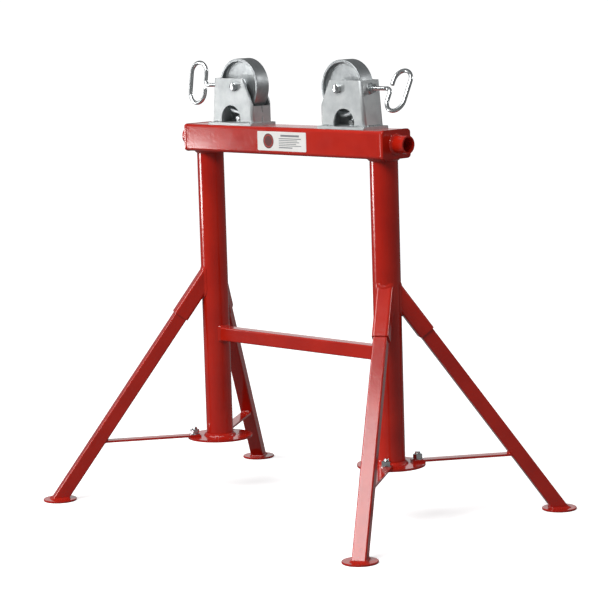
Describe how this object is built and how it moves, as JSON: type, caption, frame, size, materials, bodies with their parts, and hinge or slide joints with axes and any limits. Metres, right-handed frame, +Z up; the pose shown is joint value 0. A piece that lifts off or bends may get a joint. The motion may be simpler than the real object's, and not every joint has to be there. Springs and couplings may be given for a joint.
{
  "type": "adjustable roller pipe stand",
  "caption": "Welded tubular floor stand with splayed braced legs and a top beam that carries two sliding roller heads, each with a free steel roller and a brake screw.",
  "frame": {"origin": "on the floor under the middle of the top beam, midway between the four feet", "axes": "+Z up; +X along the top beam towards the right head, whose handle is turned; -Y is the labelled front"},
  "size_m": [1.0732, 0.731, 1.0345],
  "materials": {
    "red_paint": "gloss red enamel with slight orange peel",
    "zinc_plate": "satin zinc plating on folded plate",
    "roller_steel": "turned and plated steel, worn tread",
    "bright_hardware": "bright zinc plated fasteners",
    "bronze": "oiled sintered bronze",
    "black_steel": "black oxide steel inside the beam",
    "label_film": "printed vinyl film"
  },
  "bodies": {
    "stand": {"back_left_brace": "red_paint", "back_left_foot": "red_paint", "back_left_leg": "red_paint", "back_left_socket": "red_paint", "back_right_brace": "red_paint", "back_right_foot": "red_paint", "back_right_leg": "red_paint", "back_right_socket": "red_paint", "brace_nuts": "bright_hardware", "brace_studs": "bright_hardware", "brace_washers": "bright_hardware", "crossbar": "red_paint", "front_left_brace": "red_paint", "front_left_foot": "red_paint", "front_left_leg": "red_paint", "front_left_socket": "red_paint", "front_right_brace": "red_paint", "front_right_foot": "red_paint", "front_right_leg": "red_paint", "front_right_socket": "red_paint", "label": "label_film", "left_base_plate": "red_paint", "left_beam_cap": "red_paint", "left_beam_stub": "red_paint", "left_column": "red_paint", "right_base_plate": "red_paint", "right_beam_cap": "red_paint", "right_beam_stub": "red_paint", "right_column": "red_paint", "top_beam": "red_paint"},
    "left_head": {"left_head_base": "zinc_plate", "left_bracket": "zinc_plate", "left_axle_bolt": "bright_hardware", "left_axle_nut": "bright_hardware", "left_axle_spacers": "bright_hardware", "left_clamp_plate": "black_steel", "left_clamp_bolt": "black_steel", "left_clamp_washer": "bright_hardware", "left_clamp_nut": "bright_hardware", "left_brake_nut": "bright_hardware"},
    "left_roller": {"left_wheel": "roller_steel", "left_wheel_bush": "bronze"},
    "left_pad": {"left_brake_pad": "bronze"},
    "left_screw": {"left_brake_screw": "bright_hardware"},
    "right_head": {"right_head_base": "zinc_plate", "right_bracket": "zinc_plate", "right_axle_bolt": "bright_hardware", "right_axle_nut": "bright_hardware", "right_axle_spacers": "bright_hardware", "right_clamp_plate": "black_steel", "right_clamp_bolt": "black_steel", "right_clamp_washer": "bright_hardware", "right_clamp_nut": "bright_hardware", "right_brake_nut": "bright_hardware"},
    "right_roller": {"right_wheel": "roller_steel", "right_wheel_bush": "bronze"},
    "right_pad": {"right_brake_pad": "bronze"},
    "right_screw": {"right_brake_screw": "bright_hardware"}
  },
  "joints": [
    {"name": "left_head_slide", "type": "slide", "parent": "stand", "child": "left_head", "axis": [1, 0, 0], "range_m": [-0.064, 0.083]},
    {"name": "left_roller_spin", "type": "hinge", "parent": "left_head", "child": "left_roller", "pos_m": [-0.158, 0, 0.971], "axis": [0, 1, 0], "continuous": true},
    {"name": "left_pad_slide", "type": "slide", "parent": "left_head", "child": "left_pad", "axis": [1, 0, 0], "range_m": [-0.004, 0.0022]},
    {"name": "left_screw_turn", "type": "hinge", "parent": "left_pad", "child": "left_screw", "pos_m": [-0.2607, 0, 0.971], "axis": [1, 0, 0], "range_deg": [-900, 495]},
    {"name": "right_head_slide", "type": "slide", "parent": "stand", "child": "right_head", "axis": [1, 0, 0], "range_m": [-0.102, 0.045]},
    {"name": "right_roller_spin", "type": "hinge", "parent": "right_head", "child": "right_roller", "pos_m": [0.177, 0, 0.971], "axis": [0, 1, 0], "continuous": true},
    {"name": "right_pad_slide", "type": "slide", "parent": "right_head", "child": "right_pad", "axis": [-1, 0, 0], "range_m": [-0.004, 0.0022]},
    {"name": "right_screw_turn", "type": "hinge", "parent": "right_pad", "child": "right_screw", "pos_m": [0.2797, 0, 0.971], "axis": [-1, 0, 0], "range_deg": [-900, 495]}
  ],
  "couplings": [
    {"joint": "left_pad_slide", "follows": "left_screw_turn", "m_per_rad": 0.00025266},
    {"joint": "right_pad_slide", "follows": "right_screw_turn", "m_per_rad": 0.00025266}
  ]
}
